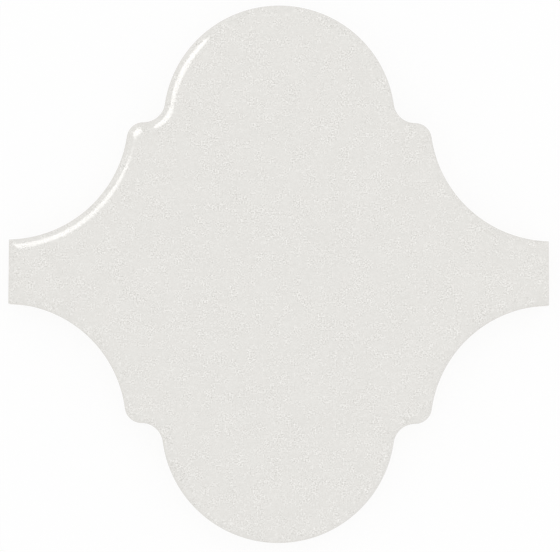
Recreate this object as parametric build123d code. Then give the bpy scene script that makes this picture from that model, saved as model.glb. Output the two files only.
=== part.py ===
from build123d import *
import os
from math import atan2, cos, degrees, radians, sin, sqrt, tan

# One arabesque wall tile, pressed from clay, glazed and fired as a single piece. It lies on its back
# with the glazed face up. The origin is the centre of the back, +X points to one flat end, +Y to a lobe.

# Outline: two round lobes, four scoops that take the neighbours' lobes, and two short flat ends
tile_width = 120.0
end_height = 14.3
ear_radius = 3.75
joint_gap = 1.0

# Section from the face to the back: a broad roll, a tight arris, an upright side and a press taper
thickness = 9.0
roll_radius = 4.8
roll_slope = 34.0
roll_land = 0.25
ear_land = 0.3
arris_radius = 0.8
taper_inset = 0.5
taper_height = 4.0

# Keyed back: straight grooves that the adhesive grips, inside a plain border
groove_pitch = 9.0
groove_width = 6.0
groove_depth = 0.9
back_border = 2.5

# The outline repeats on a staggered grid, so every arc of it is the joint gap away from the same arc of
# a neighbour. A lobe and a scoop share the grid's half column, an ear and a neck share its quarter column.
half_column = (tile_width + joint_gap) / 2
bend_x = half_column / 2
bend_radius = ear_radius + joint_gap / 2
neck_radius = ear_radius + joint_gap
lobe_radius = sqrt(bend_radius**2 + bend_x**2) - bend_radius - joint_gap / 2
scoop_radius = lobe_radius + joint_gap
row_y = end_height / 2 + sqrt(scoop_radius**2 - (joint_gap / 2) ** 2)
tile_height = 2 * (row_y + lobe_radius)


def scalloped_bar():
    """The tile before its ends are cut: lobes, necks, ears and scoops as arcs that join without a corner."""
    tilt = degrees(atan2(bend_radius, bend_x))
    lobe = CenterArc((0, row_y), lobe_radius, tilt, 180 - 2 * tilt)
    run_out = Line((half_column, row_y - scoop_radius), (half_column + thickness, row_y - scoop_radius))
    flank = [
        CenterArc((bend_x, row_y + bend_radius), neck_radius, 180 + tilt, 90 - tilt),
        CenterArc((bend_x, row_y - bend_radius), ear_radius, tilt, 90 - tilt),
        CenterArc((half_column, row_y), scoop_radius, 180 + tilt, 90 - tilt),
        run_out,
    ]
    upper = [lobe] + flank + [mirror(edge, Plane.YZ) for edge in flank]
    lower = [mirror(edge, Plane.XZ) for edge in upper]
    bar_end = Line(run_out @ 1, mirror(run_out, Plane.XZ) @ 1)
    plan = Curve() + upper + lower + [bar_end, mirror(bar_end, Plane.YZ)]
    return extrude(make_face(plan.edges()), thickness)


def end_slab():
    """A long slab as wide as the tile, whose two sides become the tile's flat ends."""
    return Box(tile_width, 2 * tile_height, thickness, align=(Align.CENTER, Align.CENTER, Align.MIN))


def rolled_over(blank, ends):
    """Ease the face into the sides: a bevel at the roll's slope, blended into the face and the side."""
    slope = radians(roll_slope)
    # The roll runs round the ears, so it leaves a little of their radius to the flat of the face.
    room = ear_radius - ear_land - roll_land * cos(slope) - arris_radius * (1 - sin(slope))
    roll = min(roll_radius, room / sin(slope))
    bevel = roll * tan(slope / 2) + roll_land + arris_radius * tan((radians(90) - slope) / 2)
    foot_z = thickness - bevel * sin(slope)
    face = blank.faces().sort_by(Axis.Z)[-1]
    rim = face.edges().filter_by(Axis.Y, reverse=not ends)
    blank = chamfer(rim, length=bevel * cos(slope), length2=bevel * sin(slope), reference=face)
    rim = blank.faces().sort_by(Axis.Z)[-1].edges().filter_by(Axis.Y, reverse=not ends)
    blank = fillet(rim, roll)
    foot = blank.edges().filter_by_position(Axis.Z, foot_z - 1e-4, foot_z + 1e-4)
    return fillet(foot.filter_by(Axis.Y, reverse=not ends), arris_radius)


def tapered(blank, ends):
    """Lean the lower side inwards, as the press leaves it, so that the joint is widest at the back."""
    back = blank.faces().sort_by(Axis.Z)[0]
    rim = back.edges().filter_by(Axis.Y, reverse=not ends)
    return chamfer(rim, length=taper_inset, length2=taper_height, reference=back)


def keyed_back(blank):
    """Sink straight grooves into the back, as many as fit, with a rib on the centre line."""
    back = blank.faces().sort_by(Axis.Z)[0]
    field = offset(make_face(back.outer_wire().edges()), -back_border, kind=Kind.INTERSECTION)
    field_end = field.bounding_box().max.X
    count = int((field_end - groove_width / 2) / groove_pitch + 0.5)
    stripes = [
        Pos(side * (index + 0.5) * groove_pitch) * Rectangle(groove_width, tile_height)
        for index in range(count)
        for side in (-1, 1)
    ]
    grooves = (Sketch() + stripes) & field
    return blank - extrude(grooves, groove_depth, dir=(0, 0, 1))


# The sides and the ends are rolled and tapered apart and then meet in a mitre at the four corners.
os.makedirs("parts", exist_ok=True)
flanks = tapered(rolled_over(scalloped_bar(), ends=False), ends=False)
flat_ends = tapered(rolled_over(end_slab(), ends=True), ends=True)
tile = keyed_back(flanks & flat_ends)
tile.label = "tile"
export_step(tile, "parts/tile.step")
print(f"tile {tile_width:.2f} x {tile_height:.2f} x {thickness:.2f} mm, {tile.volume / 1000:.1f} cm3")
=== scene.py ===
from math import atan2, cos, radians, sin, sqrt, tan
import bpy
import numpy as np
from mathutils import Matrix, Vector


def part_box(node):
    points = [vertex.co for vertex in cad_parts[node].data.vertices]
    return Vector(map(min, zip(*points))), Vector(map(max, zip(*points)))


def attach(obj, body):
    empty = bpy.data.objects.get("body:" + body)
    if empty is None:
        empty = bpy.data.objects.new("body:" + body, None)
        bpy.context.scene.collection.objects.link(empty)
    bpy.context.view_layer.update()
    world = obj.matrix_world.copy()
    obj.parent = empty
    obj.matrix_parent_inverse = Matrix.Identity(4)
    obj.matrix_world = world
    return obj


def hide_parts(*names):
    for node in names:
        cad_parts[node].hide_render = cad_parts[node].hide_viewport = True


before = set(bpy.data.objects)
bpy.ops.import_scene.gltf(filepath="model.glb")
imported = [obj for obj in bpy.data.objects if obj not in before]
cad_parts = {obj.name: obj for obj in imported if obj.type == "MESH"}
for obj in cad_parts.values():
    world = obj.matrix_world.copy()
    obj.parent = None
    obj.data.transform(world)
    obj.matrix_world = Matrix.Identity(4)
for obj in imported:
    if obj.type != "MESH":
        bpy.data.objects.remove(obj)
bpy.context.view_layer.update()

# The tile: one piece of pressed white clay with a glossy white glaze, fired together.
# Its plan is a closed run of arcs, its edge rolls over softly, and its back is grooved for the adhesive.
# Lengths are in millimetres until the mesh is made.
MILLIMETRE = 0.001
tile_low, tile_high = (np.array(corner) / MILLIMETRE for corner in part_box("tile"))
tile_width, tile_height, thickness = tile_high - tile_low

# The plan follows the staggered grid on which such tiles are laid. Scoops are centred on the neighbours'
# lobes and one joint larger than those. Ears and necks lie halfway between two lobes.
ear_radius = 3.75
ear_shrink = 0.75
end_corner = 0.12
joint_gap = 1.0
half_column = (tile_width + joint_gap) / 2
bend_x = half_column / 2
bend_radius = ear_radius + joint_gap / 2
lobe_radius = sqrt(bend_radius**2 + bend_x**2) - bend_radius - joint_gap / 2
row_y = tile_height / 2 - lobe_radius
tilt = atan2(bend_radius, bend_x)
corner_steps = 7
scoop_steps = 110
ear_steps = 26
neck_steps = 30
lobe_steps = 84


def upper_edge(inset):
    """x and y of the plan's upper half, drawn in by each inset, from the right end to the left one.

    The arcs are corner, scoop, ear, neck and half the lobe, then the same mirrored. Scoop, neck and lobe
    keep their centres while the inset is added to the radius or taken from it. The ear touches scoop and
    neck, and its radius shrinks more slowly, because glaze rounds a small bend. Each inset gives one row.
    """
    inset = np.reshape(inset, (-1, 1))
    scoop = lobe_radius + joint_gap + inset
    neck = ear_radius + joint_gap + inset
    ear = ear_radius - ear_shrink * inset
    apart = sqrt(bend_x**2 + bend_radius**2)
    lean = np.arccos(((scoop + ear) ** 2 + apart**2 - (neck + ear) ** 2) / (2 * (scoop + ear) * apart))
    scoop_end = np.pi - tilt + lean
    ear_x = half_column + (scoop + ear) * np.cos(scoop_end)
    ear_y = row_y + (scoop + ear) * np.sin(scoop_end)
    neck_start = 2 * np.pi + np.arctan2(ear_y - row_y - bend_radius, ear_x - bend_x)
    corner_x = tile_width / 2 - inset - end_corner
    corner_y = row_y - np.sqrt((scoop + end_corner) ** 2 - (half_column - corner_x) ** 2)
    meet = np.arctan2(row_y - corner_y, half_column - corner_x)
    arcs = [
        (corner_x, corner_y, end_corner, 0.0, meet, corner_steps),
        (half_column, row_y, scoop, np.pi + meet, scoop_end, scoop_steps),
        (ear_x, ear_y, ear, scoop_end - np.pi, neck_start - np.pi, ear_steps),
        (bend_x, row_y + bend_radius, neck, neck_start, np.pi + tilt, neck_steps),
        (0.0, row_y, lobe_radius - inset, tilt, np.pi / 2, lobe_steps),
    ]
    right_x, right_y = [], []
    for centre_x, centre_y, radius, first, last, steps in arcs:
        angle = first + (last - first) * np.arange(steps) / steps
        right_x.append(centre_x + radius * np.cos(angle))
        right_y.append(centre_y + radius * np.sin(angle))
    right_x, right_y = np.hstack(right_x), np.hstack(right_y)
    top = row_y + lobe_radius - inset
    return np.hstack([right_x, 0 * top, -right_x[:, ::-1]]), np.hstack([right_y, top, right_y[:, ::-1]])


# The rim, from the face down: a broad roll, a short land, a tight arris, an upright side, a taper left by
# the press and a slightly worn foot.
roll_radius = 4.8
roll_slope = radians(34.0)
roll_land = 0.25
arris_radius = 0.8
taper_inset = 0.5
taper_height = 4.0
foot_radius = 0.3
roll_width = (roll_radius * sin(roll_slope) + roll_land * cos(roll_slope)
              + arris_radius * (1 - sin(roll_slope)))
arris_z = (thickness - roll_radius * (1 - cos(roll_slope)) - roll_land * sin(roll_slope)
           - arris_radius * cos(roll_slope))
foot_rows = 6
side_rows = 8
arris_rows = 9
roll_rows = 22


def edge_section():
    """The rim from foot to face as two arrays, inset from the outline and height above the back.

    Foot, arris and roll are arcs. The taper and the land are the straight steps between two of the parts.
    """
    lean = atan2(taper_inset, taper_height)
    foot = np.linspace(0.0, np.pi / 2 - lean, foot_rows)
    foot_base = foot_radius * tan((np.pi / 2 - lean) / 2)
    arris = np.linspace(0.0, np.pi / 2 - roll_slope, arris_rows)[1:]
    roll = np.linspace(roll_slope, 0.0, roll_rows)
    inset = [
        taper_inset + foot_base - foot_radius * np.sin(foot),
        np.zeros(side_rows),
        arris_radius * (1 - np.cos(arris)),
        roll_width - roll_radius * np.sin(roll),
    ]
    height = [
        foot_radius * (1 - np.cos(foot)),
        np.linspace(taper_height, arris_z, side_rows),
        arris_z + arris_radius * np.sin(arris),
        thickness - roll_radius * (1 - np.cos(roll)),
    ]
    return np.concatenate(inset), np.concatenate(height)


# The back: straight grooves on an even pitch, pressed into the clay so that the adhesive keys, with a rib
# on the centre line and a plain border all round. Where the tile is narrow, a groove keeps to a share of
# the way to the edge, and its floor to a share of the groove.
groove_pitch = 9.0
groove_width = 6.0
groove_depth = 0.9
groove_draft = 0.35
back_border = 2.5
most_reach = 0.97
least_floor = 0.9
groove_end_row = 3
groove_floor_row = 4


def grooved_back(x, y, last_row):
    """The back as a grid: columns slide sideways onto the groove walls, rows gather at the groove ends.

    Height is the depth where the column lies in a groove and the row inside the border, and it slopes
    straight to the ribs and the border over a width of one draft.
    """
    field_x, field_y = (line[0] for line in upper_edge(taper_inset + back_border))
    count = int((field_x[0] - groove_width / 2) / groove_pitch + 0.5)
    centres = (np.arange(-count, count) + 0.5) * groove_pitch
    half_floor = groove_width / 2 - groove_draft
    offsets = np.array([-groove_width / 2, -half_floor, half_floor, groove_width / 2])
    walls = (centres[:, None] + offsets).ravel()[::-1]
    order = np.arange(len(walls))
    places = np.abs(x[:, None] - walls).argmin(axis=0)
    places = np.maximum.accumulate(places - order) + order
    column_x = np.interp(np.arange(len(x)), np.r_[0, places, len(x) - 1], np.r_[x[0], walls, x[-1]])
    nearest = np.abs(column_x[:, None] - centres).min(axis=1)
    in_groove = np.clip((groove_width / 2 - nearest) / groove_draft, 0, 1)

    reach = np.interp(column_x, field_x[::-1], field_y[::-1])
    reach = np.minimum(reach, most_reach * y)
    floor_reach = np.maximum(reach - groove_draft, least_floor * reach)
    levels = np.stack([-y, -reach, -floor_reach, floor_reach, reach, y], axis=1)
    first_knots = np.array([0, groove_end_row, groove_floor_row])
    knots = np.concatenate([first_knots, last_row - first_knots[::-1]])
    row = np.arange(last_row + 1)
    span = np.clip(np.searchsorted(knots, row, side="right") - 1, 0, len(knots) - 2)
    blend = (row - knots[span]) / (knots[span + 1] - knots[span])
    grid_y = levels[:, span] * (1 - blend) + levels[:, span + 1] * blend
    in_rows = (row >= groove_floor_row) & (row <= last_row - groove_floor_row)
    height = groove_depth * in_groove[:, None] * in_rows
    return np.stack([np.repeat(column_x[:, None], len(row), axis=1), grid_y, height], axis=2)


# The skin is one mesh: rim, face and back share the points where they meet.
grid_rows = 29


def tile_surface():
    """The closed skin: rings of the rim section, a grid over the face and a grooved grid over the back.

    A grid's columns join the upper edge to the lower one, so its border is a ring of the rim. Ring points
    run up the right end, over the top, down the left end and back along the bottom.
    """
    inset, height = edge_section()
    x, y = upper_edge(inset)
    rows = np.linspace(-1, 1, grid_rows)
    even = np.ones(grid_rows)
    ring_x = np.hstack([x[:, :1] * even, x[:, 1:], x[:, -1:] * even[1:], x[:, -2:0:-1]])
    ring_y = np.hstack([y[:, :1] * rows, y[:, 1:], y[:, -1:] * rows[-2::-1], -y[:, -2:0:-1]])
    ring_points = np.stack([ring_x, ring_y, height[:, None] + 0 * ring_x], axis=2)
    ring_count, ring_size = ring_x.shape

    # Both grids have the same numbering: a border point is a ring's point, an inner point is a new one.
    last_row = grid_rows - 1
    last_column = x.shape[1] - 1
    column, row = np.meshgrid(np.arange(last_column + 1), np.arange(last_row + 1), indexing="ij")
    halfway = last_row + last_column
    border = np.select(
        [column == 0, row == last_row, column == last_column, row == 0],
        [row, last_row + column, halfway + last_row - row, 2 * halfway - column],
        -1,
    )
    inner = border < 0
    face_numbers = border + (ring_count - 1) * ring_size
    face_numbers[inner] = ring_count * ring_size + np.arange(inner.sum())
    back_numbers = border.copy()
    back_numbers[inner] = ring_count * ring_size + inner.sum() + np.arange(inner.sum())

    face_x = np.repeat(x[-1][:, None], grid_rows, axis=1)
    face = np.stack([face_x, y[-1][:, None] * rows, np.full(inner.shape, thickness)], axis=2)
    back = grooved_back(x[0], y[0], last_row)
    points = np.concatenate([ring_points.reshape(-1, 3), face[inner], back[inner]])

    # Quads run round so that rim and face point outwards. The back's are turned over.
    ring = np.arange(ring_count * ring_size).reshape(ring_count, ring_size)
    next_point = np.roll(ring, -1, axis=1)
    rim_quads = np.stack([ring[:-1], next_point[:-1], next_point[1:], ring[1:]], axis=2).reshape(-1, 4)
    face_quads, back_quads = (
        np.stack([grid[:-1, :-1], grid[:-1, 1:], grid[1:, 1:], grid[1:, :-1]], axis=2).reshape(-1, 4)
        for grid in (face_numbers, back_numbers)
    )
    quads = np.concatenate([rim_quads, face_quads, back_quads[:, ::-1]])
    return points, quads, len(rim_quads) + len(face_quads)


tile_points, tile_quads, smooth_quads = tile_surface()
tile_mesh = bpy.data.meshes.new("glazed_tile")
tile_mesh.from_pydata(tile_points * MILLIMETRE, [], tile_quads)
tile_mesh.update()
tile_mesh.polygons.foreach_set("use_smooth", np.arange(len(tile_quads)) < smooth_quads)
tile = bpy.data.objects.new("glazed_tile", tile_mesh)
bpy.context.scene.collection.objects.link(tile)


class Wire:
    """One socket in a node tree, or only the tree, for its first nodes. Sums and products add Math nodes."""

    def __init__(self, tree, socket=None):
        self.tree = tree
        self.socket = socket

    def node(self, kind, settings=None, sockets=None, output=0):
        """Add a node: its settings come first, then a value or a wire for each socket."""
        made = self.tree.nodes.new(kind)
        for name, value in (settings or {}).items():
            setattr(made, name, value)
        for name, value in (sockets or {}).items():
            if isinstance(value, Wire):
                self.tree.links.new(value.socket, made.inputs[name])
            else:
                made.inputs[name].default_value = value
        return Wire(self.tree, made.outputs[output] if made.outputs else None)

    def maths(self, operation, first, second):
        """A Math node on two values, each a number or a wire."""
        return self.node("ShaderNodeMath", {"operation": operation}, {0: first, 1: second})

    def __add__(self, other):
        return self.maths("ADD", self, other)

    __radd__ = __add__

    def __sub__(self, other):
        return self.maths("SUBTRACT", self, other)

    def __rsub__(self, other):
        return self.maths("SUBTRACT", other, self)

    def __mul__(self, other):
        return self.maths("MULTIPLY", self, other)

    __rmul__ = __mul__

    def noise(self, size, detail=2.0, roughness=0.5):
        """Even noise from 0 to 1 whose lumps are about size millimetres across."""
        return self.node("ShaderNodeTexNoise", {}, {
            "Vector": self, "Scale": 1 / (size * MILLIMETRE), "Detail": detail, "Roughness": roughness})

    def rise(self, start, end):
        """A soft step from 0 at start to 1 at end."""
        return self.node("ShaderNodeMapRange", {"interpolation_type": "SMOOTHSTEP"}, {
            "Value": self, "From Min": start, "From Max": end})

    def mixed(self, first, second):
        """The first colour where this wire is 0, the second where it is 1.

        A Mix node takes its colours at sockets 6 and 7, and its output 2 gives the mixed one.
        """
        return self.node("ShaderNodeMix", {"data_type": "RGBA"}, {0: self, 6: first, 7: second}, output=2)


# The finish: gloss glaze over the face and the upper sides, bare clay on the lower sides and the back.
# Levels are measured from the back, and the bead's from the line where the glaze ends. A colour is the
# share of red, green and blue light that the surface sends back.
glaze_dark = (0.625, 0.612, 0.579, 1)
glaze_light = (0.949, 0.936, 0.907, 1)
# The arris colour is darker partly for thinner glaze and partly as painted shade of the edge.
glaze_thin_and_shade = (0.725, 0.708, 0.671, 1)
clay_dark = (0.665, 0.610, 0.520, 1)
clay_light = (0.725, 0.675, 0.590, 1)
clay_rubbed = (0.79, 0.755, 0.685, 1)
iron_brown = (0.42, 0.33, 0.24, 1)
glaze_end = 5.2
glaze_sway = 1.6
glaze_fade = 0.12
thin_and_shade_below = 7.4
glaze_full_above = 8.25
bead_start = -0.1
bead_crest = 0.25
bead_end = 1.0
rubbed_below = 0.05
unrubbed_above = 0.3
ripple_height = 0.006
bead_height = 0.06
pore_height = 0.05
glaze_roughness = 0.04
ripple_roughness = 0.04
clay_roughness = 0.86
calm_speck = 0.396
patch_speck = 1.98
mottle_strength = 0.26
cloud_strength = 0.12
rub_strength = 0.5
spot_strength = 0.5


def glazed_clay():
    """White gloss glaze down to an uneven line on the side, bare cream clay below it and on the back.

    The glaze is finely speckled in patches and mottled, is darker over the arris, partly where it thins and
    partly as painted shade, and ends in a small bead.
    The clay is grainy, has a few dark iron spots and is rubbed paler where the ribs stood on the kiln shelf.
    """
    material = bpy.data.materials.new("glazed_clay")
    material.use_nodes = True
    tree = material.node_tree
    tree.nodes.clear()
    sheet = Wire(tree)
    place = sheet.node("ShaderNodeTexCoord", output="Object")
    height = sheet.node("ShaderNodeSeparateXYZ", {}, {"Vector": place}, output="Z") * (1 / MILLIMETRE)

    above_line = height - (glaze_end + place.noise(size=14.0, detail=3.0) * glaze_sway)
    glazed = above_line.rise(-glaze_fade, glaze_fade)
    patches = place.noise(size=2.0).rise(0.36, 0.7)
    speck = (place.noise(size=0.31, detail=1.0) - 0.5) * (calm_speck + patches * patch_speck)
    mottle = place.noise(size=1.0, detail=1.0) - 0.5
    cloud = place.noise(size=5.0) - 0.5
    grain = 0.5 + speck + mottle * mottle_strength + cloud * cloud_strength
    full_glaze = grain.mixed(glaze_dark, glaze_light)
    # Below the full glaze the colour is painted darker over the arris, partly for thinner glaze and partly
    # as painted shade where the edge turns from the light.
    glaze = height.rise(thin_and_shade_below, glaze_full_above).mixed(glaze_thin_and_shade, full_glaze)

    clay_grain = place.noise(size=0.6, detail=3.0, roughness=0.6).rise(0.25, 0.75)
    clay = clay_grain.mixed(clay_dark, clay_light)
    lowest = 1 - height.rise(rubbed_below, unrubbed_above)
    rubbed = lowest * place.noise(size=7.0, detail=3.0).rise(0.35, 0.65)
    clay = (rubbed * rub_strength).mixed(clay, clay_rubbed)
    spots = place.noise(size=0.9, detail=0.0).rise(0.77, 0.83)
    clay = (spots * spot_strength).mixed(clay, iron_brown)

    ripple = place.noise(size=6.0, detail=1.0)
    bead = above_line.rise(bead_start, bead_crest) * (1 - above_line.rise(bead_crest, bead_end))
    pores = place.noise(size=0.35, detail=3.0)
    relief = glazed * (ripple * ripple_height + bead * bead_height) + (1 - glazed) * pores * pore_height
    bumped = sheet.node("ShaderNodeBump", {}, {"Strength": 1.0, "Distance": MILLIMETRE, "Height": relief})
    smoothing = clay_roughness - glaze_roughness - ripple * ripple_roughness
    shader = sheet.node("ShaderNodeBsdfPrincipled", {}, {
        "Base Color": glazed.mixed(clay, glaze), "Roughness": clay_roughness - glazed * smoothing,
        "IOR": 1.5, "Normal": bumped})
    sheet.node("ShaderNodeOutputMaterial", {}, {"Surface": shader})
    return material


tile_mesh.materials.append(glazed_clay())
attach(tile, "root")
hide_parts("tile")

# The floor: a wide sheet of matt white paper under the tile. Seen directly it is nearly plain white,
# a little darker where the tile keeps the light off it. From here on lengths are in metres.
floor_half = 3.0
floor_drop = 0.1 * MILLIMETRE
white = (1, 1, 1, 1)
paper_white = (0.95, 0.95, 0.95, 1)
paper_glow = 0.88
floor_mesh = bpy.data.meshes.new("paper_floor")
floor_corners = np.array([[-1, -1, 0], [1, -1, 0], [1, 1, 0], [-1, 1, 0]]) * floor_half
floor_mesh.from_pydata(floor_corners - np.array([0, 0, floor_drop]), [], [(0, 1, 2, 3)])
floor_mesh.update()
floor = bpy.data.objects.new("paper_floor", floor_mesh)
bpy.context.scene.collection.objects.link(floor)


def seen_directly(sheet):
    """1 for a ray from the camera, from a gloss reflection or through glass, and 0 for any other."""
    direct = 0.0
    for name in ("Is Camera Ray", "Is Glossy Ray", "Is Transmission Ray"):
        direct = sheet.maths("MAXIMUM", direct, sheet.node("ShaderNodeLightPath", output=name))
    return direct


def white_paper():
    """Matt white that is nearly pure white to the eye and in reflections, with a trace of the shadow."""
    material = bpy.data.materials.new("white_paper")
    material.use_nodes = True
    tree = material.node_tree
    tree.nodes.clear()
    sheet = Wire(tree)
    matt = sheet.node("ShaderNodeBsdfDiffuse", {}, {"Color": paper_white})
    bright = sheet.node("ShaderNodeEmission", {}, {"Color": white, "Strength": 1.0})
    bright_share = seen_directly(sheet) * paper_glow
    paper = sheet.node("ShaderNodeMixShader", {}, {0: bright_share, 1: matt, 2: bright})
    sheet.node("ShaderNodeOutputMaterial", {}, {"Surface": paper})
    return material


floor_mesh.materials.append(white_paper())

# The light: an even white room, a little brighter overhead, and a broad soft key high above the tile.
# A small oval lamp hangs close to the tile at its upper left and only shows as a reflection in the glaze.
room_level = (0.88, 0.88, 0.88, 1)
room_overhead = (0.99, 0.99, 0.99, 1)
world = bpy.data.worlds.new("white_room")
bpy.context.scene.world = world
world.use_nodes = True
world.node_tree.nodes.clear()
sky = Wire(world.node_tree)
direction = sky.node("ShaderNodeTexCoord", output="Generated")
upward = sky.node("ShaderNodeSeparateXYZ", {}, {"Vector": direction}, output="Z")
room_colour = upward.rise(0.0, 0.8).mixed(room_level, room_overhead)
room = sky.node("ShaderNodeBackground", {}, {"Color": room_colour, "Strength": 1.0})
backdrop = sky.node("ShaderNodeBackground", {}, {"Color": white, "Strength": 1.0})
behind = sky.node("ShaderNodeMixShader", {}, {0: seen_directly(sky), 1: room, 2: backdrop})
sky.node("ShaderNodeOutputWorld", {}, {"Surface": behind})


def hang_lamp(name, shape, width, length, power, place, turn):
    """A flat lamp that hangs level at a place and shines straight down, turned about the upright."""
    data = bpy.data.lights.new(name, "AREA")
    data.shape = shape
    data.size = width
    data.size_y = length
    data.energy = power
    lamp = bpy.data.objects.new(name, data)
    lamp.location = place
    lamp.rotation_euler = (0, 0, turn)
    bpy.context.scene.collection.objects.link(lamp)
    return lamp


key = hang_lamp(
    "soft_key", shape="RECTANGLE", width=0.6, length=0.6, power=0.36, place=(0.1, 0.35, 0.95), turn=0.0)
key.visible_glossy = False
glint = hang_lamp(
    "oval_glint", shape="ELLIPSE", width=0.098, length=0.156, power=0.27,
    place=(-0.1128, 0.1164, 0.109), turn=0.656)
glint.data.spread = radians(120)
glint.visible_diffuse = False
glint.visible_camera = False

# The oval pane glows most at the end that is further from the tile, and it fades towards its rim.
# Places on the pane run from 0 to 1 each way.
black = (0, 0, 0, 1)
pane_middle = (0.5, 0.5, 0)
pane_rim = 0.5
fade_start = 0.395
near_glow = 0.13
far_glow = 1.87
near_share = near_glow / far_glow
glint.data.use_nodes = True
glint.data.node_tree.nodes.clear()
pane = Wire(glint.data.node_tree)
on_pane = pane.node("ShaderNodeNewGeometry", output="Parametric")
from_middle = pane.node(
    "ShaderNodeVectorMath", {"operation": "DISTANCE"}, {0: on_pane, 1: pane_middle}, output="Value")
outward = pane.node("ShaderNodeSeparateXYZ", {}, {"Vector": on_pane}, output="Y")
glow_share = from_middle.rise(pane_rim, fade_start) * (near_share + outward * (1 - near_share))
pane_colour = glow_share.mixed(black, white)
glow = pane.node("ShaderNodeEmission", {}, {"Color": pane_colour, "Strength": far_glow})
pane.node("ShaderNodeOutputLight", {}, {"Surface": glow})

# The camera: nearly straight above the tile and a little in front of it, framed as the photograph is,
# in which the lower lobe is slightly nearer than the upper one.
camera_data = bpy.data.cameras.new("above")
camera_data.lens = 120.0
camera_data.sensor_width = 36.0
camera_data.clip_end = 20.0
camera = bpy.data.objects.new("above", camera_data)
camera.location = (0.00034, -0.02048, 0.42145)
camera.rotation_euler = (radians(2.724), 0, radians(0.195))
bpy.context.scene.collection.objects.link(camera)
bpy.context.scene.camera = camera
bpy.context.scene.view_settings.view_transform = "Standard"
